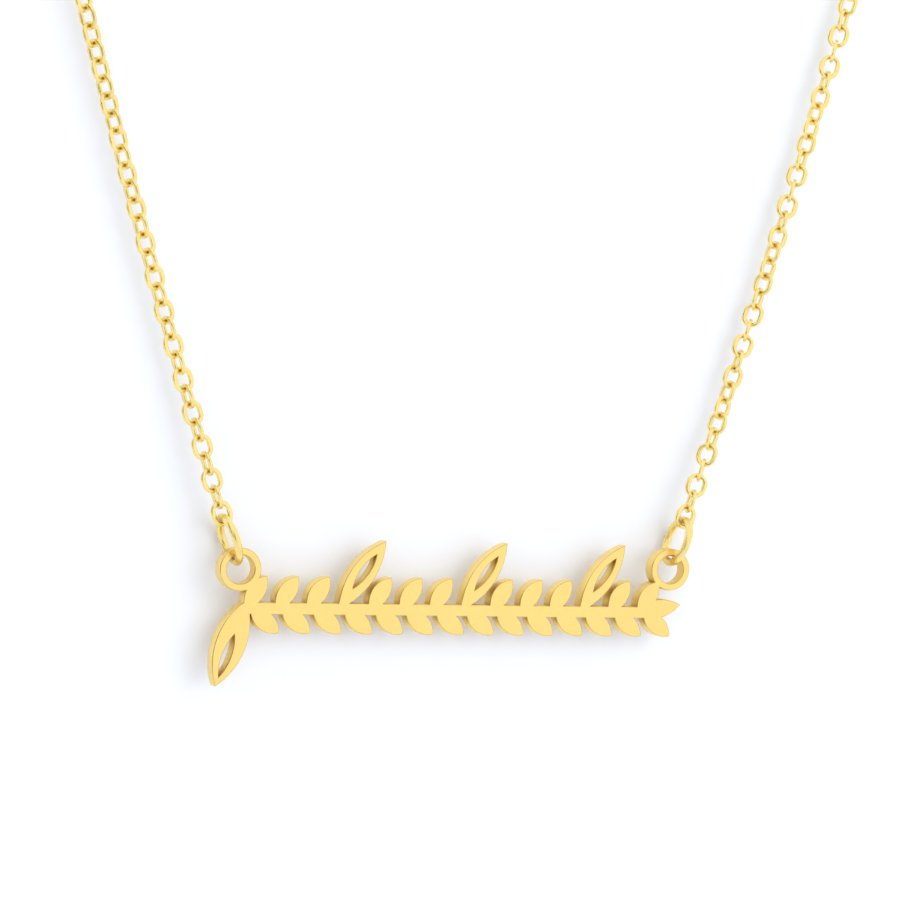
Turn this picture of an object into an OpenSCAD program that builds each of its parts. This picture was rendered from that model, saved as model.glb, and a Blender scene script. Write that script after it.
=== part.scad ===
// Nameplate necklace: a flat plate cut as a leafy sprig, hung from a cable chain by two jump rings.
// The front faces -Y and +Z is up.
// The origin is the underside of the clasp at the top of the loop, where the necklace hangs.
// All sizes are in millimetres and all angles in degrees.

/* [Loop] */
// Length once round the necklace, through the plate and the clasp
loop_length = 416; // [380:1:500]
// Lean of the chain, out to each side from upright, where it leaves the plate
chain_lean = 19.2; // [12:0.1:26]
// How much less it leans where its long gentle bend ends
lean_drop = 6; // [1:0.5:9]
// Quarter turns of twist along the left chain
twist_left = 1; // [0:1:8]
// Quarter turns of twist along the right chain, the other way round
twist_right = 12; // [0:1:16]

/* [Chain] */
// Outer width of a link
link_width = 2.07; // [1.9:0.01:2.4]
// Outer length of a link
link_length = 2.46; // [2.3:0.02:2.8]
// Width of the wire at a link's sides
link_side = 0.47; // [0.4:0.01:0.54]
// Width of the wire at a link's ends
link_end = 0.36; // [0.33:0.01:0.36]
// Thickness of a link
link_thick = 0.32; // [0.26:0.01:0.32]
// Least gap between two pieces that hang in each other
link_gap = 0.12; // [0.1:0.01:0.14]

/* [Jump rings] */
// Outer diameter of a jump ring
jump_outer = 5.1; // [4.9:0.1:6]
// Diameter of a jump ring's wire
jump_wire = 0.76; // [0.6:0.02:0.76]

/* [Plate] */
// Distance between the centres of the two end rings
ring_span = 43.9; // [40:0.1:48]
// Outer diameter of an end ring
ring_outer = 4.05; // [3.9:0.05:4.4]
// Hole diameter of an end ring
ring_hole = 2.75; // [2.5:0.05:2.85]
// Thickness of the plate
plate_thick = 1.5; // [1.2:0.1:1.7]
// Height of the stem's middle below the ring centres
stem_drop = 3.9; // [3.7:0.1:4.1]
// Width of the stem
stem_width = 1.1; // [1:0.05:1.4]
// Tilt of the stem, down to the right
stem_tilt = 0.8; // [0:0.1:1.5]

/* [Leaves] */
// Number of leaves along each side of the stem
leaf_count = 14; // [13:1:15]
// Lean from upright of the leaves above the stem
leaf_lean = 35; // [32:1:40]
// Length of a leaf above the stem
leaf_length = 3.7; // [3.5:0.1:4.1]
// Width of a leaf
leaf_width = 1.8; // [1.7:0.05:2]
// Length of a tall leaf
tall_length = 7.9; // [7.2:0.1:8.6]
// Width of a tall leaf
tall_width = 2.4; // [2.1:0.1:2.6]
// Lean from upright of the leaves below the stem
low_lean = 128; // [122:1:138]
// Length of a leaf below the stem
low_length = 3.7; // [3.4:0.1:4.1]
// Width of the slot pierced along a leaf's middle
slot_width = 0.85; // [0.6:0.05:0.95]

/* [Ends] */
// Length of the drooping leaf at the left
droop_length = 8.5; // [7.8:0.1:9.4]
// Width of the drooping leaf at the left
droop_width = 3; // [2.7:0.1:3.3]
// Length of the last leaf at the right
last_length = 4.6; // [4:0.1:5.2]

/* [Clasp] */
// Length of the clasp's barrel
barrel_length = 7; // [6:0.5:9]
// Diameter of the clasp's barrel
barrel_diameter = 3.2; // [2.6:0.1:3.6]
// Hole diameter of a clasp's eye
clasp_hole = 1.5; // [1.3:0.1:1.8]
// Width of the rim round a clasp's eye
clasp_rim = 0.55; // [0.45:0.05:0.6]
// Thickness of a clasp's eye
clasp_thick = 0.6; // [0.45:0.05:0.65]

/* [Hidden] */

gold = [0.98, 0.86, 0.5];
round_sides = 64;
link_sides = 32;
LEFT = 0;
RIGHT = 1;
sides = [-1, 1];
quarter_turns = [twist_left, twist_right];

// Link and jump ring: openings, and how far each piece sits from the next along the chain
link_hole_width = link_width - 2 * link_side;
link_hole_length = link_length - 2 * link_end;
longest_pitch = link_hole_length - link_gap;
bulge_share = 0.55;
cut_share = 0.9;
link_bulge = bulge_share * link_thick;
jump_inner = jump_outer - 2 * jump_wire;
jump_reach = (jump_outer - jump_wire) / 2;

// The end ring's rim is square, so its corners are what the jump ring's wire has to clear
rim_corner = sqrt(pow(jump_inner / 2 - link_gap, 2) - pow(plate_thick / 2, 2));
jump_centre = ring_hole / 2 + rim_corner;
first_link = jump_centre + jump_reach - jump_wire / 2 - link_gap + link_hole_length / 2;

// Clasp: the outer edge of each eye's hole is where the level top of the loop ends
eye_sink = 0.35;
clasp_eye_x = barrel_length / 2 + clasp_hole / 2 + clasp_rim - eye_sink;
level_half = clasp_eye_x + clasp_hole / 2;

// The eye's rim is square too, and has to clear the rounded end of the last link's opening
link_room = link_hole_width / 2;
eye_clear = link_room - sqrt(pow(link_room - link_gap, 2) - pow(clasp_thick / 2, 2));

// Route: each half bends gently from its end ring up, then turns on a tighter arc to the level top
half_run = (loop_length - ring_span) / 2 - level_half;
half_gap = ring_span / 2 - level_half;
high_lean = chain_lean - lean_drop;
long_turn = PI * lean_drop / 180;
tight_turn = PI * (90 + high_lean) / 180;
drawn_in = 1 - cos(chain_lean) / cos(high_lean);
long_radius = (half_run - tight_turn * half_gap / cos(high_lean)) / (long_turn + tight_turn * drawn_in);
tight_radius = long_radius * drawn_in + half_gap / cos(high_lean);
long_run = long_radius * long_turn;
arc_height = long_radius * (sin(chain_lean) - sin(high_lean)) + tight_radius * sin(high_lean);
top_z = arc_height + tight_radius;

// The last link stands square to the clasp's eye, so the quarter turns set whether the steps are odd or even.
// A twist is quicker near the plate where its evenness is below 1.
last_link = half_run - link_hole_length / 2 + eye_clear;
fewest_steps = ceil((last_link - first_link) / longest_pitch);
steps = [for (side = [LEFT, RIGHT]) fewest_steps + (fewest_steps + quarter_turns[side] + 1) % 2];
pitch = [for (side = [LEFT, RIGHT]) (last_link - first_link) / steps[side]];
twist_even = [0.85, 1];
function twist(side, number) =
    -sides[side] * 90 * quarter_turns[side] * pow(number / steps[side], twist_even[side]);

// Sprig: its first and last leaves grow a little inside the end rings, and three upper leaves are tall
first_inset = 0.5;
last_inset = 3.3;
first_foot = first_inset - ring_span / 2;
last_foot = ring_span / 2 - last_inset;
leaf_step = (last_foot - first_foot) / (leaf_count - 1);
tall_leaves = [3, 7, 11];
slot_share = 0.5;
slot_start = 0.3;
droop_lean = 199;
droop_sink = 0.8;
last_lean = 80;
last_sink = 0.5;
low_shift = 0.6;

function is_in(value, list) = len([for (each_one = list) if (each_one == value) 1]) > 0;
function foot(leaf) = first_foot + leaf * leaf_step;
// Lean and place of the right half's route, a distance along it from its end ring's centre
function heading(along) = along < long_run
    ? chain_lean - along / long_radius * 180 / PI
    : high_lean - (along - long_run) / tight_radius * 180 / PI;
function route(along) = along < long_run
    ? [ring_span / 2 + long_radius * (cos(heading(along)) - cos(chain_lean)),
       long_radius * (sin(chain_lean) - sin(heading(along)))]
    : [level_half + tight_radius * cos(heading(along)), arc_height - tight_radius * sin(heading(along))];

// Moves a piece drawn round the ring centres' height to the frame whose origin is under the clasp
module from_clasp() {
    translate([0, 0, barrel_diameter / 2 - top_z]) children();
}

// Stands a flat outline up so that its Y becomes Z, with its thickness shared to both sides
module upright_plate(thick) {
    rotate([90, 0, 0]) linear_extrude(thick, center = true) children();
}

// Puts a piece on one side's route, its +Z along the chain
module on_route(side, along) {
    place = route(along);
    translate([sides[side] * place[0], 0, place[1]]) rotate([0, sides[side] * heading(along), 0]) children();
}

// Pointed oval from the origin up along Y, where two equal arcs cross
module leaf(length, width) {
    arc = (length * length + width * width) / (4 * width);
    intersection() {
        translate([arc - width / 2, length / 2]) circle(arc, $fn = round_sides);
        translate([width / 2 - arc, length / 2]) circle(arc, $fn = round_sides);
    }
}

// Places a leaf on the stem, growing at a lean from upright
module on_stem(along, leaf_angle) {
    translate([along, -stem_drop]) rotate(-leaf_angle) children();
}

// Slot along the middle of a leaf
module leaf_slot(length) {
    translate([0, slot_start * length]) leaf(slot_share * length, slot_width);
}

module sprig() {
    translate([first_foot, -stem_drop - stem_width / 2])
        square([last_foot - first_foot + stem_width, stem_width]);
    for (number = [0 : leaf_count - 1]) {
        on_stem(foot(number) + low_shift, low_lean) leaf(low_length, leaf_width);
        on_stem(foot(number), leaf_lean)
            if (is_in(number, tall_leaves)) leaf(tall_length, tall_width);
            else leaf(leaf_length, leaf_width);
    }
    on_stem(last_foot, last_lean) translate([0, -last_sink]) leaf(last_length + last_sink, leaf_width);
    on_stem(first_foot, droop_lean) translate([0, -droop_sink]) leaf(droop_length, droop_width);
}

module sprig_slots() {
    for (number = tall_leaves) on_stem(foot(number), leaf_lean) leaf_slot(tall_length);
    on_stem(first_foot, droop_lean) leaf_slot(droop_length);
}

module plate_outline() {
    difference() {
        union() {
            rotate(-stem_tilt) sprig();
            for (side = sides) translate([side * ring_span / 2, 0]) circle(d = ring_outer, $fn = round_sides);
        }
        rotate(-stem_tilt) sprig_slots();
        for (side = sides) translate([side * ring_span / 2, 0]) circle(d = ring_hole, $fn = round_sides);
    }
}

module nameplate() {
    color(gold) from_clasp() upright_plate(plate_thick) plate_outline();
}

module jump_ring(side) {
    color(gold) from_clasp() on_route(side, jump_centre) rotate([0, 90, 0])
        rotate_extrude($fn = round_sides) translate([jump_reach, 0]) circle(d = jump_wire, $fn = link_sides);
}

// One rounded end of an oval that is long in Y, swept from a section drawn from X = 0 outwards
module oval_end(width, length, end) {
    translate([0, end * (length - width) / 2, 0]) rotate(90 - 90 * end)
        rotate_extrude(angle = 180, $fn = round_sides) children();
}

// One straight side of the same oval, between its two ends
module oval_side(width, length, side) {
    rotate([90, 0, 90 - 90 * side]) linear_extrude(length - width, center = true) children();
}

// Section of what is cut from outside a link, which leaves its edge rounded
module rim_section() {
    translate([link_width / 2 - link_bulge, 0]) difference() {
        translate([0, -link_thick]) square([link_width, 2 * link_thick]);
        circle(link_bulge, $fn = link_sides);
    }
}

// Section of what is cut from a link's middle, which leaves the same roundness inside
module hole_section() {
    cut_height = link_thick / 2 + link_bulge;
    difference() {
        translate([0, -cut_height / 2]) square([link_hole_width / 2 + cut_share * link_bulge, cut_height]);
        translate([link_hole_width / 2 + link_bulge, 0]) circle(link_bulge, $fn = link_sides);
    }
}

// Link in the XZ plane, long in Z, cut from a block a little larger than it
module link() {
    rotate([90, 0, 0]) difference() {
        cube([link_width + link_side / 2, link_length + link_side / 2, link_thick], center = true);
        oval_end(link_width, link_length, 1) rim_section();
        oval_end(link_width, link_length, -1) rim_section();
        oval_side(link_width, link_length, 1) rim_section();
        oval_side(link_width, link_length, -1) rim_section();
        oval_end(link_hole_width, link_hole_length, 1) hole_section();
        oval_end(link_hole_width, link_hole_length, -1) hole_section();
        oval_side(link_hole_width, link_hole_length, 1) hole_section();
        oval_side(link_hole_width, link_hole_length, -1) hole_section();
    }
}

module chain(side) {
    color(gold) from_clasp() for (number = [0 : steps[side]]) {
        on_route(side, first_link + number * pitch[side])
            rotate(90 * (number % 2) + twist(side, number)) link();
    }
}

module clasp() {
    color(gold) from_clasp() translate([0, 0, top_z]) {
        rotate([0, 90, 0]) rotate_extrude($fn = round_sides) intersection() {
            union() {
                for (end = sides) translate([0, end * (barrel_length - barrel_diameter) / 2])
                    circle(d = barrel_diameter, $fn = round_sides);
                square([barrel_diameter, barrel_length - barrel_diameter], center = true);
            }
            translate([0, -barrel_length / 2]) square([barrel_diameter, barrel_length]);
        }
        for (side = sides) translate([side * clasp_eye_x, 0, 0]) upright_plate(clasp_thick) difference() {
            circle(clasp_hole / 2 + clasp_rim, $fn = round_sides);
            circle(d = clasp_hole, $fn = round_sides);
        }
    }
}

nameplate();
jump_ring(LEFT);  // jump_ring_left
jump_ring(RIGHT);  // jump_ring_right
chain(LEFT);  // chain_left
chain(RIGHT);  // chain_right
clasp();
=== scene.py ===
"""Nameplate necklace hanging in front of a white wall, seen a little from its left and from above."""
import math

import bmesh
import bpy
import numpy as np
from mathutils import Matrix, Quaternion, Vector
from mathutils.kdtree import KDTree


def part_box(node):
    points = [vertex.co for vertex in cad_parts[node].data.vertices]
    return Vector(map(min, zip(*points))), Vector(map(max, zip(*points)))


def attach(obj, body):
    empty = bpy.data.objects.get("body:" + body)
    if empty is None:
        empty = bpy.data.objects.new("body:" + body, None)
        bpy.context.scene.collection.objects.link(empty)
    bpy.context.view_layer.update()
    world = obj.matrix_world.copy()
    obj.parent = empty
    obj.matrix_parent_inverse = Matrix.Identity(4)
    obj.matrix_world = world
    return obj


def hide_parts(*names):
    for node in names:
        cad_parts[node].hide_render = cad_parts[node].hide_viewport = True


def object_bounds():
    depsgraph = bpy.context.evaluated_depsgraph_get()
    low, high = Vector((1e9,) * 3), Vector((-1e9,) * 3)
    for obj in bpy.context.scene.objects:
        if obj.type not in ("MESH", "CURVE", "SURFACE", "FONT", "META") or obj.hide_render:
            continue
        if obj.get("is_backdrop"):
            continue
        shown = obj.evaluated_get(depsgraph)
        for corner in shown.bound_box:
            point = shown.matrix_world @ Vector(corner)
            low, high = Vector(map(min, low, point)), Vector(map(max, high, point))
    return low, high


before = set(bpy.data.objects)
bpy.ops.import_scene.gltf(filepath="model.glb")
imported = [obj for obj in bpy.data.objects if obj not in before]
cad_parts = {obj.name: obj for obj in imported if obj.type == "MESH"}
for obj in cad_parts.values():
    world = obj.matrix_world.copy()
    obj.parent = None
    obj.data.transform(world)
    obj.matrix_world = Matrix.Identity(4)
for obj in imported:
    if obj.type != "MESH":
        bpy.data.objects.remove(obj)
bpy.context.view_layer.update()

# Lengths are in metres, and MM is one millimetre
MM = 0.001


# Camera: it is set by the middle between the plate's two end rings.
# RING_SPAN is between their centres, RING_OUTER their outer diameter and RING_DROP how low they hang.
# AIM_ABOVE and AIM_LEFT are how far from that middle the camera aims.

RING_SPAN = 43.9 * MM
RING_OUTER = 4.05 * MM
RING_DROP = 149.21 * MM
VIEW_AZIMUTH = math.radians(-22)
VIEW_ELEVATION = math.radians(2.5)
VIEW_ROLL = math.radians(1.84)
VIEW_DISTANCE = 330 * MM
FOCAL_MM = 139.2
SENSOR_MM = 36
NEAREST_SEEN = 10 * MM
AIM_ABOVE = 11.25 * MM
AIM_LEFT = 1.13 * MM


def plate_centre():
    """Middle between the centres of the plate's end rings."""
    _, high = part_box("nameplate")
    return Vector((high[0] - (RING_SPAN + RING_OUTER) / 2, 0, -RING_DROP))


def direction(azimuth, elevation):
    """Unit way from the object towards an azimuth, which is 0 in front and grows to the right."""
    return Vector((math.sin(azimuth) * math.cos(elevation), -math.cos(azimuth) * math.cos(elevation),
                   math.sin(elevation)))


def add_camera():
    """Camera at the photograph's place and angle."""
    back = direction(VIEW_AZIMUTH, VIEW_ELEVATION)
    right = Vector((math.cos(VIEW_AZIMUTH), math.sin(VIEW_AZIMUTH), 0))
    aim = plate_centre() - AIM_LEFT * right + AIM_ABOVE * back.cross(right)
    camera = bpy.data.objects.new("camera", bpy.data.cameras.new("camera"))
    camera.data.lens = FOCAL_MM
    camera.data.sensor_width = SENSOR_MM
    camera.data.clip_start = NEAREST_SEEN
    camera.location = aim + VIEW_DISTANCE * back
    camera.rotation_euler = (back.to_track_quat("Z", "Y") @ Quaternion((0, 0, 1), VIEW_ROLL)).to_euler()
    bpy.context.collection.objects.link(camera)
    bpy.context.scene.camera = camera


# Materials: the golds' noise scales count per metre, and the wall's over its whole size.
# DRIFT is the golds' change of tone, the painted shade their darkening near other surfaces and MARK their
# fine marks.

PLATE_COLOUR = (0.98, 0.71, 0.23)
# Partly painted light: the cut walls are rougher and brushed, and their gold is a lighter copy of the face's,
# which brightens them.
CUT_PAINTED_LIGHT_COLOUR = (1.0, 0.76, 0.27)
CHAIN_COLOUR = (1.0, 0.79, 0.29)
# Painted dark reflection: the front rim gets a darker copy of the plate's gold, for the dark line along the
# face's edge.
PAINTED_DARK_EDGE_COLOUR = (0.8, 0.56, 0.17)
DRIFT_SCALE = 180
DRIFT_DETAIL = 2
DRIFT_RANGE = (0.35, 0.65)
# Painted shade: near other surfaces the golds' base colour is darkened towards this tone.
PAINTED_SHADE_TONE = (0.6, 0.47, 0.22)
PAINTED_SHADE_RANGE = (0.25, 0.85)
PAINTED_SHADE_SAMPLES = 8
BARE = (1, 1, 1)
MARK_DETAIL = 3
MARK_RANGE = (0.3, 0.7)
GLOSS_RANGE = (0.9, 1.1)
BRUSHED = (1, 0.15, 1)
WALL_COLOUR = (0.86, 0.88, 0.925)
WALL_GRAIN = 400
WALL_DETAIL = 3
WALL_SHADE = 0.99


def node_of(tree, kind, **values):
    """Adds a node and sets its inputs by name."""
    node = tree.nodes.new(kind)
    for name, value in values.items():
        node.inputs[name.replace("_", " ")].default_value = value
    return node


def ramp_of(tree, factor, first, last, reach=(0, 1)):
    """Colour that goes from first to last as the factor crosses its reach."""
    ramp = tree.nodes.new("ShaderNodeValToRGB")
    for element, place, colour in zip(ramp.color_ramp.elements, reach, (first, last)):
        element.position = place
        element.color = (*colour, 1)
    tree.links.new(factor, ramp.inputs["Fac"])
    return ramp.outputs["Color"]


def darker(colour, share):
    return tuple(share * c for c in colour)


def gold(name, colour, roughness, mottle, grain, bump, painted_shade_distance, stretch=(1, 1, 1)):
    """Polished gold plating whose tone drifts softly and gloss varies a little, with painted shade near other
    surfaces.

    mottle is how far the tone drifts, grain the size of the fine marks, bump how deep they are, the shade
    distance how near another surface has to be for the painted shade to darken the tone, and stretch how
    close the marks lie along each axis.
    """
    material = bpy.data.materials.new(name)
    material.use_nodes = True
    tree = material.node_tree
    surface = tree.nodes["Principled BSDF"]
    surface.inputs["Metallic"].default_value = 1
    place = tree.nodes.new("ShaderNodeTexCoord")

    drift = node_of(tree, "ShaderNodeTexNoise", Scale=DRIFT_SCALE, Detail=DRIFT_DETAIL)
    tree.links.new(place.outputs["Object"], drift.inputs["Vector"])
    tone = ramp_of(tree, drift.outputs["Fac"], darker(colour, 1 - mottle), colour, DRIFT_RANGE)

    # Painted shade: an ambient occlusion test darkens the base colour where another surface is near.
    near = node_of(tree, "ShaderNodeAmbientOcclusion", Distance=painted_shade_distance)
    near.samples = PAINTED_SHADE_SAMPLES
    painted_shade_ramp = ramp_of(tree, near.outputs["AO"], PAINTED_SHADE_TONE, BARE, PAINTED_SHADE_RANGE)
    tone_and_painted_shade = tree.nodes.new("ShaderNodeMix")
    tone_and_painted_shade.data_type = "RGBA"
    tone_and_painted_shade.blend_type = "MULTIPLY"
    tone_and_painted_shade.inputs["Factor"].default_value = 1
    tree.links.new(tone, tone_and_painted_shade.inputs["A"])
    tree.links.new(painted_shade_ramp, tone_and_painted_shade.inputs["B"])
    tree.links.new(tone_and_painted_shade.outputs["Result"], surface.inputs["Base Color"])

    spread = node_of(tree, "ShaderNodeMapping", Scale=stretch)
    marks = node_of(tree, "ShaderNodeTexNoise", Scale=1 / grain, Detail=MARK_DETAIL)
    gloss = node_of(tree, "ShaderNodeMapRange", From_Min=MARK_RANGE[0], From_Max=MARK_RANGE[1],
                    To_Min=GLOSS_RANGE[0] * roughness, To_Max=GLOSS_RANGE[1] * roughness)
    relief = node_of(tree, "ShaderNodeBump", Strength=1, Distance=bump)
    tree.links.new(place.outputs["Object"], spread.inputs["Vector"])
    tree.links.new(spread.outputs["Vector"], marks.inputs["Vector"])
    tree.links.new(marks.outputs["Fac"], gloss.inputs["Value"])
    tree.links.new(gloss.outputs["Result"], surface.inputs["Roughness"])
    tree.links.new(marks.outputs["Fac"], relief.inputs["Height"])
    tree.links.new(relief.outputs["Normal"], surface.inputs["Normal"])
    return material


def matt(name, colour):
    """Plain colour with no gloss."""
    material = bpy.data.materials.new(name)
    material.use_nodes = True
    surface = material.node_tree.nodes["Principled BSDF"]
    surface.inputs["Base Color"].default_value = (*colour, 1)
    surface.inputs["Roughness"].default_value = 1
    surface.inputs["Specular IOR Level"].default_value = 0
    return material


def white_wall():
    """Matt white that is seen from its front only, so the wall hides nothing from behind."""
    material = matt("white_wall", WALL_COLOUR)
    tree = material.node_tree
    surface = tree.nodes["Principled BSDF"]
    grain = node_of(tree, "ShaderNodeTexNoise", Scale=WALL_GRAIN, Detail=WALL_DETAIL)
    tone = ramp_of(tree, grain.outputs["Fac"], darker(WALL_COLOUR, WALL_SHADE), WALL_COLOUR)
    facing = tree.nodes.new("ShaderNodeNewGeometry")
    clear = tree.nodes.new("ShaderNodeBsdfTransparent")
    choice = tree.nodes.new("ShaderNodeMixShader")
    end = tree.nodes["Material Output"]
    tree.links.new(tone, surface.inputs["Base Color"])
    tree.links.new(facing.outputs["Backfacing"], choice.inputs["Fac"])
    tree.links.new(surface.outputs["BSDF"], choice.inputs[1])
    tree.links.new(clear.outputs["BSDF"], choice.inputs[2])
    tree.links.new(choice.outputs["Shader"], end.inputs["Surface"])
    return material


# Pieces: SAME_PLACE is how near two points lie that are one, and CORNERS are a triangle's

SAME_PLACE = MM / 10000
CORNERS = 3


def add_piece(name, mesh, slot, *materials):
    """Puts a mesh in the scene as a piece of the part, with its materials. Its slot is not used."""
    piece = bpy.data.objects.new(name, mesh)
    for material in materials:
        mesh.materials.append(material)
    bpy.context.collection.objects.link(piece)
    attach(piece, "root")
    return piece


def mesh_from(name, points, faces, sharp_from):
    """Smooth mesh with sharp edges from a given angle on."""
    mesh = bpy.data.meshes.new(name)
    mesh.from_pydata([tuple(p) for p in points], [], faces)
    mesh.shade_smooth()
    mesh.set_sharp_from_angle(angle=sharp_from)
    return mesh


def merged(node):
    """Triangles of a CAD node, with the points that share a place made one."""
    source = bmesh.new()
    source.from_mesh(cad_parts[node].data)
    bmesh.ops.remove_doubles(source, verts=source.verts, dist=SAME_PLACE)
    bmesh.ops.triangulate(source, faces=source.faces)
    return source


# Plate: the CAD outline with its front and back rims rounded.
# CAP, ROUND and WALL are its kinds of face, in the order of its materials; the front rim's ROUND faces get a
# darker gold, a painted dark reflection.

PLATE_ROUND = 0.075 * MM
ROUND_STEPS = 3
MITRE_LIMIT = 2.2
ON_FACE = MM / 1000
PLATE_SHARP = math.radians(40)
CAP, ROUND, WALL = range(3)


def rim_of(triangles):
    """Directed edges that bound a set of triangles."""
    directed = {(t[k], t[(k + 1) % CORNERS]) for t in triangles for k in range(CORNERS)}
    return [edge for edge in directed if (edge[1], edge[0]) not in directed]


def inward(points, rim, turned):
    """Per rim point, the way into the material in the plate's plane, longer at a corner.

    turned is 1 for the front face, whose edges have the material on their left, and -1 for the back face.
    """
    ways = {}
    for a, b in rim:
        run = points[b] - points[a]
        way = turned * Vector((-run.z, 0, run.x)).normalized()
        ways.setdefault(a, []).append(way)
        ways.setdefault(b, []).append(way)
    return {p: mitred(pair) for p, pair in ways.items()}


def mitred(pair):
    """Way to where both edges at a point are moved in by 1, no longer than MITRE_LIMIT."""
    middle = (pair[0] + pair[-1]).normalized()
    return middle / max(middle.dot(pair[0]), 1 / MITRE_LIMIT)


def rounded_rim(points, rim, face_y, into, new_points):
    """Adds the rings of points that lead round a rim, from the plate's wall to its face.

    into is the way along Y from the face into the plate, 1 or -1. The result gives the number of each new
    point by the rim point that it comes from and by its step round the rim.
    """
    rings = {}
    ways = inward(points, rim, into)
    for step in range(ROUND_STEPS + 1):
        turn = math.pi / 2 * step / ROUND_STEPS
        for i, way in ways.items():
            rings[i, step] = len(new_points)
            spot = points[i] + way * PLATE_ROUND * (1 - math.cos(turn))
            new_points.append((spot.x, face_y + into * PLATE_ROUND * (1 - math.sin(turn)), spot.z))
    return rings


def straight_behind(points, front, back):
    """For each point of the front rim, the nearest point of the back rim in the plate's plane."""
    tree = KDTree(len(back))
    for i in back:
        tree.insert((points[i].x, 0, points[i].z), i)
    tree.balance()
    return {i: tree.find((points[i].x, 0, points[i].z))[1] for i in front}


def plate_mesh():
    """The plate's two faces with a rounded rim round each, and the walls between them."""
    source = merged("nameplate")
    low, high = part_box("nameplate")
    points = [v.co.copy() for v in source.verts]
    triangles = [tuple(v.index for v in f.verts) for f in source.faces]
    source.free()
    new_points, faces, kinds = [], [], []
    outermost = {}
    for face_y, into in ((low[1], 1), (high[1], -1)):
        cap = [t for t in triangles if all(abs(points[i].y - face_y) < ON_FACE for i in t)]
        rim = rim_of(cap)
        rings = rounded_rim(points, rim, face_y, into, new_points)
        faces += [tuple(rings[i, ROUND_STEPS] for i in t) for t in cap]
        kinds += [CAP] * len(cap)
        for step in range(ROUND_STEPS):
            faces += [(rings[a, step], rings[b, step], rings[b, step + 1], rings[a, step + 1])
                      for a, b in rim]
            kinds += [ROUND if into > 0 else WALL] * len(rim)
        outermost[into] = {i: number for (i, step), number in rings.items() if step == 0}, rim
    near, rim = outermost[1]
    far, _ = outermost[-1]
    behind = straight_behind(points, near, far)
    for a, b in rim:
        corners = near[b], near[a], far[behind[a]], far[behind[b]]
        faces.append(tuple(dict.fromkeys(corners)))
        kinds.append(WALL)
    mesh = mesh_from("plate", new_points, faces, PLATE_SHARP)
    mesh.polygons.foreach_set("material_index", kinds)
    mesh.polygons.foreach_set("use_smooth", [kind != CAP for kind in kinds])
    return mesh


# Chain: one fine link is set at each place and turn that a CAD link has.
# LINK_SIDE and LINK_END are how wide its wire is at its sides and ends, and BULGE the radius of its edges.

LINK_WIDTH = 2.07 * MM
LINK_LENGTH = 2.46 * MM
LINK_SIDE = 0.5 * MM
LINK_END = 0.415 * MM
LINK_THICK = 0.34 * MM
BULGE = 0.55 * LINK_THICK
SIDE_STEPS = 3
END_STEPS = 16
EDGE_STEPS = 4
LINK_SHARP = math.radians(50)


def oval(width, length):
    """Points round an oval in the XZ plane that is long in Z, the same number on each of its parts."""
    radius, half = width / 2, (length - width) / 2
    points = []
    for side in (1, -1):
        points += [(side * radius, side * half * (2 * k / SIDE_STEPS - 1)) for k in range(SIDE_STEPS)]
        points += [(side * radius * math.cos(math.pi * k / END_STEPS),
                    side * (half + radius * math.sin(math.pi * k / END_STEPS))) for k in range(END_STEPS)]
    return np.array(points)


def edge_profile():
    """How deep in from the edge, and how high, the points of a link's bulged edge lie."""
    reach = math.asin(LINK_THICK / 2 / BULGE)
    turns = [reach * (2 * k / EDGE_STEPS - 1) for k in range(EDGE_STEPS + 1)]
    return [(BULGE * (1 - math.cos(t)), BULGE * math.sin(t)) for t in turns]


def link_shape():
    """Points and faces of one link round the origin, flat in the XZ plane."""
    outer = oval(LINK_WIDTH, LINK_LENGTH)
    inner = oval(LINK_WIDTH - 2 * LINK_SIDE, LINK_LENGTH - 2 * LINK_END)
    across = outer - inner
    across /= np.linalg.norm(across, axis=1)[:, None]
    loops = [(outer - across * deep, high) for deep, high in edge_profile()]
    loops += [(inner + across * deep, high) for deep, high in reversed(edge_profile())]
    points = np.concatenate([np.stack([at[:, 0], np.full(len(at), high), at[:, 1]], axis=1)
                             for at, high in loops])
    stations, rows = len(outer), len(loops)
    faces = [[r * stations + s, (r + 1) % rows * stations + s,
              (r + 1) % rows * stations + (s + 1) % stations, r * stations + (s + 1) % stations]
             for r in range(rows) for s in range(stations)]
    return points, np.array(faces)


def loose_parts(source):
    """Each loose part of a mesh as an array of its triangles' corners."""
    parts, seen = [], set()
    for start in source.verts:
        if start in seen:
            continue
        seen.add(start)
        stack, faces = [start], set()
        while stack:
            for face in stack.pop().link_faces:
                if face in faces:
                    continue
                faces.add(face)
                for vertex in face.verts:
                    if vertex not in seen:
                        seen.add(vertex)
                        stack.append(vertex)
        parts.append(np.array([[v.co for v in f.verts] for f in faces]))
    return parts


def axes_of(corners):
    """Centre of a part's surface and its axes: across its width, through its thickness, along its length.

    The axes are those of the surface's second moment. A triangle adds to it, by its area, the squares of the
    arms to its corners and of CORNERS times the arm to its middle.
    """
    area = np.linalg.norm(np.cross(corners[:, 1] - corners[:, 0], corners[:, 2] - corners[:, 0]), axis=1)
    middle = corners.mean(axis=1)
    centre = (area[:, None] * middle).sum(axis=0) / area.sum()
    arms = corners - centre
    spread = np.einsum("t,tki,tkj->ij", area, arms, arms)
    spread += CORNERS ** 2 * np.einsum("t,ti,tj->ij", area, middle - centre, middle - centre)
    _, ways = np.linalg.eigh(spread)
    width, thick, length = ways[:, 1], ways[:, 0], ways[:, 2]
    if np.dot(np.cross(width, thick), length) < 0:
        width = -width
    return centre, np.array([width, thick, length])


def chain_mesh(node):
    """All the fine links of one chain."""
    shape, faces = link_shape()
    source = merged(node)
    points, quads = [], []
    for number, part in enumerate(loose_parts(source)):
        centre, axes = axes_of(part)
        points.append(shape @ axes + centre)
        quads.append(faces + number * len(shape))
    source.free()
    return mesh_from(node, np.concatenate(points), np.concatenate(quads).tolist(), LINK_SHARP)


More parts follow.
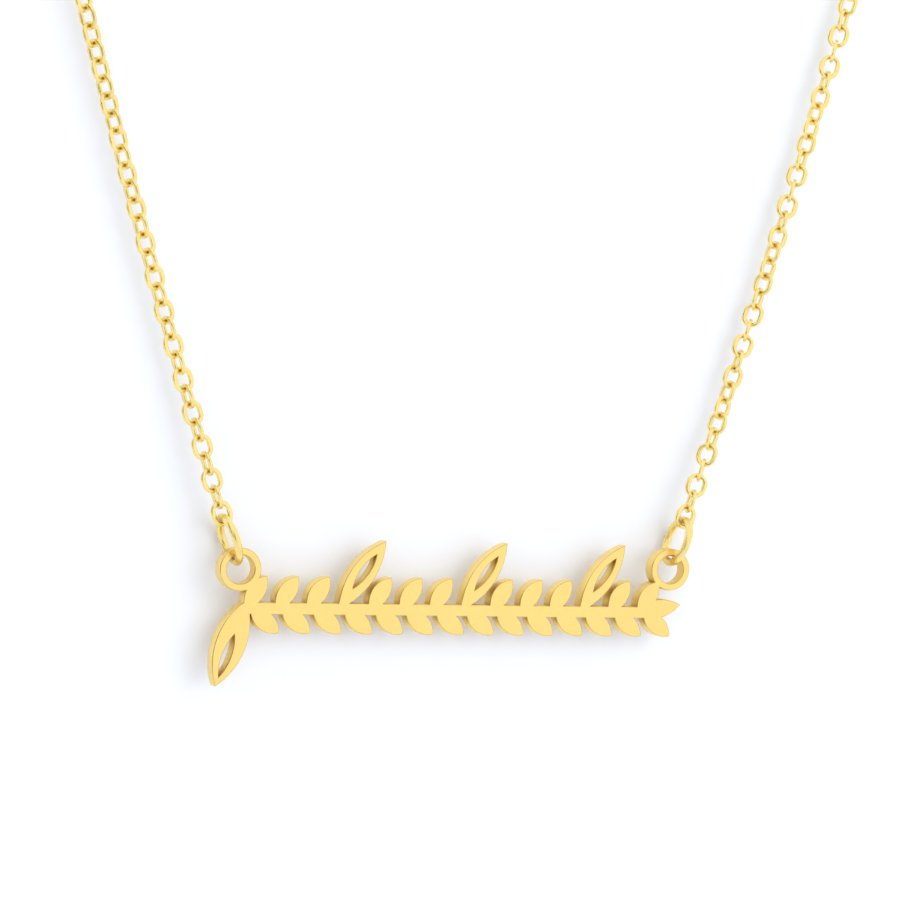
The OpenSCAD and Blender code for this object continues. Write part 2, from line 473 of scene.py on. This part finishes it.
# Jump rings: round wire with the fine cut that each was opened at.
# CUT_HALF is half the cut's width, and CUT_ANGLE where it lies, the ring's top being at 90 degrees.

WIRE_STEPS = 40
RING_STEPS = 160
JUMP_OUTER = 5.1 * MM
JUMP_WIRE = 0.76 * MM
CUT_HALF = 0.02 * MM
CUT_ANGLE = math.radians(100)
RING_SHARP = math.radians(40)


def ring_axes(corners):
    """Centre of a ring, and its axes: the middle one through its hole, the last as upright as can be."""
    centre, axes = axes_of(corners)
    through = axes[1]
    side = np.cross(through, (0, 0, 1))
    side /= np.linalg.norm(side)
    return centre, np.array([side, through, np.cross(side, through)])


def jump_ring_mesh(node):
    """Torus at the CAD ring's place and turn, open by a hair at its cut."""
    source = merged(node)
    centre, axes = ring_axes(loose_parts(source)[0])
    source.free()
    reach = (JUMP_OUTER - JUMP_WIRE) / 2
    gap = CUT_HALF / reach
    points, faces = [], []
    for k in range(RING_STEPS + 1):
        turn = CUT_ANGLE + gap + (2 * math.pi - 2 * gap) * k / RING_STEPS
        out = math.cos(turn) * axes[0] + math.sin(turn) * axes[2]
        for j in range(WIRE_STEPS):
            roll = 2 * math.pi * j / WIRE_STEPS
            points.append(centre + out * (reach + JUMP_WIRE / 2 * math.cos(roll))
                          + axes[1] * JUMP_WIRE / 2 * math.sin(roll))
    for k in range(RING_STEPS):
        for j in range(WIRE_STEPS):
            a, b = k * WIRE_STEPS + j, k * WIRE_STEPS + (j + 1) % WIRE_STEPS
            faces.append((a, b, b + WIRE_STEPS, a + WIRE_STEPS))
    faces.append(tuple(reversed(range(WIRE_STEPS))))
    faces.append(tuple(range(RING_STEPS * WIRE_STEPS, (RING_STEPS + 1) * WIRE_STEPS)))
    return mesh_from(node, points, faces, RING_SHARP)


# Stage: a wall that swells towards the chain and curves forward into a floor.
# SWELL_TOP is the height of the swell's upper end, SWELL_FOOT how far above the end rings its lower end lies,
# and SWELL_EASE how long each end takes to rise.

WALL_BEHIND = 0.3 * MM
WALL_HALF_WIDTH = 0.9
WALL_HEIGHT = 0.9
FLOOR_BELOW = 45 * MM
FLOOR_DEPTH = 1.2
COVE_RADIUS = 25 * MM
SWELL = 0.75 * MM
SWELL_TOP = -6 * MM
SWELL_FOOT = 5.5 * MM
SWELL_EASE = 13 * MM
EASE_STEPS = 12
WALL_SHARP = math.radians(60)


def add_backdrop(material):
    """Wall behind the necklace that swells towards the chain and curves forward into a floor below the plate.

    The swell begins above the jump rings, which reach further back than the chain, and ends below the clasp.
    """
    low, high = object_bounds()
    wall_y = high[1] + WALL_BEHIND
    floor_z = low[2] - FLOOR_BELOW
    side = [(wall_y, WALL_HEIGHT)]
    foot = SWELL_FOOT - RING_DROP
    for start, end, rise in ((SWELL_TOP, SWELL_TOP - SWELL_EASE, 1), (foot + SWELL_EASE, foot, -1)):
        for step in range(EASE_STEPS + 1):
            share = step / EASE_STEPS
            swell = SWELL * (1 - rise * math.cos(math.pi * share)) / 2
            side.append((wall_y - swell, start + (end - start) * share))
    for step in range(EASE_STEPS + 1):
        turn = math.pi / 2 * step / EASE_STEPS
        side.append((wall_y - COVE_RADIUS * (1 - math.cos(turn)),
                     floor_z + COVE_RADIUS * (1 - math.sin(turn))))
    side.append((wall_y - FLOOR_DEPTH, floor_z))
    points = [(x, y, z) for x in (-WALL_HALF_WIDTH, WALL_HALF_WIDTH) for y, z in side]
    count = len(side)
    faces = [(k, k + 1, count + k + 1, count + k) for k in range(count - 1)]
    mesh = mesh_from("backdrop", points, faces, WALL_SHARP)
    mesh.materials.append(material)
    backdrop = bpy.data.objects.new("backdrop", mesh)
    bpy.context.collection.objects.link(backdrop)
    backdrop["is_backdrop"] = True


# Light: a white sky, one soft lamp and two dark cards that the gold reflects.
# NEAR is the card a little left of the camera and SIDE the one at the far left, both as seen from the plate.

SKY_STRENGTH = 1.07
SKY_COLOUR = (0.985, 0.99, 1)
KEY_AZIMUTH = math.radians(20)
KEY_ELEVATION = math.radians(9)
KEY_DISTANCE = 0.85
KEY_SIZE = 0.8
KEY_POWER = 2.35
NEAR_AZIMUTH = math.radians(-33)
NEAR_HALF_HEIGHT = math.radians(16)
NEAR_TONE = (0.2, 0.17, 0.1)
SIDE_AZIMUTH = math.radians(-85)
SIDE_HALF_HEIGHT = math.radians(40)
SIDE_TONE = (0.05, 0.04, 0.025)
CARD_ELEVATION = math.radians(4)
CARD_HALF_WIDTH = math.radians(13)
CARD_DISTANCE = 250 * MM


def add_sky():
    """Even white light from all round."""
    world = bpy.data.worlds.new("studio")
    bpy.context.scene.world = world
    world.use_nodes = True
    world.node_tree.nodes["Background"].inputs["Color"].default_value = (*SKY_COLOUR, 1)
    world.node_tree.nodes["Background"].inputs["Strength"].default_value = SKY_STRENGTH


def add_key(aim):
    """Round soft lamp to the front right, which casts the shadows to the left and isn't seen in the gold."""
    place = aim + KEY_DISTANCE * direction(KEY_AZIMUTH, KEY_ELEVATION)
    light = bpy.data.objects.new("key", bpy.data.lights.new("key", "AREA"))
    light.data.shape = "DISK"
    light.data.size = KEY_SIZE
    light.data.energy = KEY_POWER
    light.location = place
    light.rotation_euler = (place - aim).to_track_quat("Z", "Y").to_euler()
    light.visible_glossy = False
    bpy.context.collection.objects.link(light)


def add_dark_card(name, centre, azimuth, half_height, tone):
    """Dark card to the left of the object, which only the gold's reflections show."""
    toward = direction(azimuth, CARD_ELEVATION)
    bpy.ops.mesh.primitive_plane_add(size=1)
    card = bpy.context.object
    card.name = name
    card.scale = (2 * CARD_DISTANCE * math.tan(CARD_HALF_WIDTH), 2 * CARD_DISTANCE * math.tan(half_height), 1)
    card.location = centre + CARD_DISTANCE * toward
    card.rotation_euler = toward.to_track_quat("Z", "Y").to_euler()
    card.visible_camera = False
    card.visible_diffuse = False
    card.visible_shadow = False
    card.data.materials.append(matt(name, tone))
    card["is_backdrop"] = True


# The whole scene: the golds, the pieces in place of their CAD nodes, the stage and the light.
# The clasp is shown by its CAD node itself.

# The golds' painted shade darkens them near other surfaces, within the distance each is given.
plate_face = gold("plate_face", PLATE_COLOUR, roughness=0.3, mottle=0.015, grain=0.5 * MM,
                  bump=0.00008 * MM, painted_shade_distance=0.3 * MM)
# Painted dark reflection: the front rim's darker gold paints the dark line along the face's edge.
painted_dark_edge = gold("painted_dark_edge", PAINTED_DARK_EDGE_COLOUR, roughness=0.2, mottle=0.05, grain=0.3 * MM,
                 bump=0.0002 * MM, painted_shade_distance=0.3 * MM)
# Partly painted light: the cut walls' brushed gold is lighter than the face's, which brightens them.
brushed_cut_painted_light = gold("brushed_cut_painted_light", CUT_PAINTED_LIGHT_COLOUR, roughness=0.4, mottle=0.06, grain=0.12 * MM,
                 bump=0.004 * MM, painted_shade_distance=0.8 * MM, stretch=BRUSHED)
chain_gold = gold("chain_gold", CHAIN_COLOUR, roughness=0.2, mottle=0.05, grain=0.4 * MM,
                  bump=0.0002 * MM, painted_shade_distance=0.35 * MM)
ring_gold = gold("ring_gold", CHAIN_COLOUR, roughness=0.28, mottle=0.05, grain=0.4 * MM,
                 bump=0.0001 * MM, painted_shade_distance=0.6 * MM)

add_camera()

plate = add_piece("plate", plate_mesh(), "plate_gold", plate_face, painted_dark_edge, brushed_cut_painted_light)
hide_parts("nameplate")
for side in ("left", "right"):
    chain = add_piece("links_" + side, chain_mesh("chain_" + side), "chain_gold", chain_gold)
    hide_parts("chain_" + side)
    ring = add_piece("ring_" + side, jump_ring_mesh("jump_ring_" + side), "ring_gold", ring_gold)
    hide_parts("jump_ring_" + side)
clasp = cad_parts["clasp"]
clasp.data.materials.clear()
clasp.data.materials.append(ring_gold)

add_backdrop(white_wall())
add_sky()
centre = plate_centre()
add_key(centre)
add_dark_card("near_card", centre, NEAR_AZIMUTH, NEAR_HALF_HEIGHT, NEAR_TONE)
add_dark_card("side_card", centre, SIDE_AZIMUTH, SIDE_HALF_HEIGHT, SIDE_TONE)

bpy.context.scene.view_settings.view_transform = "Standard"
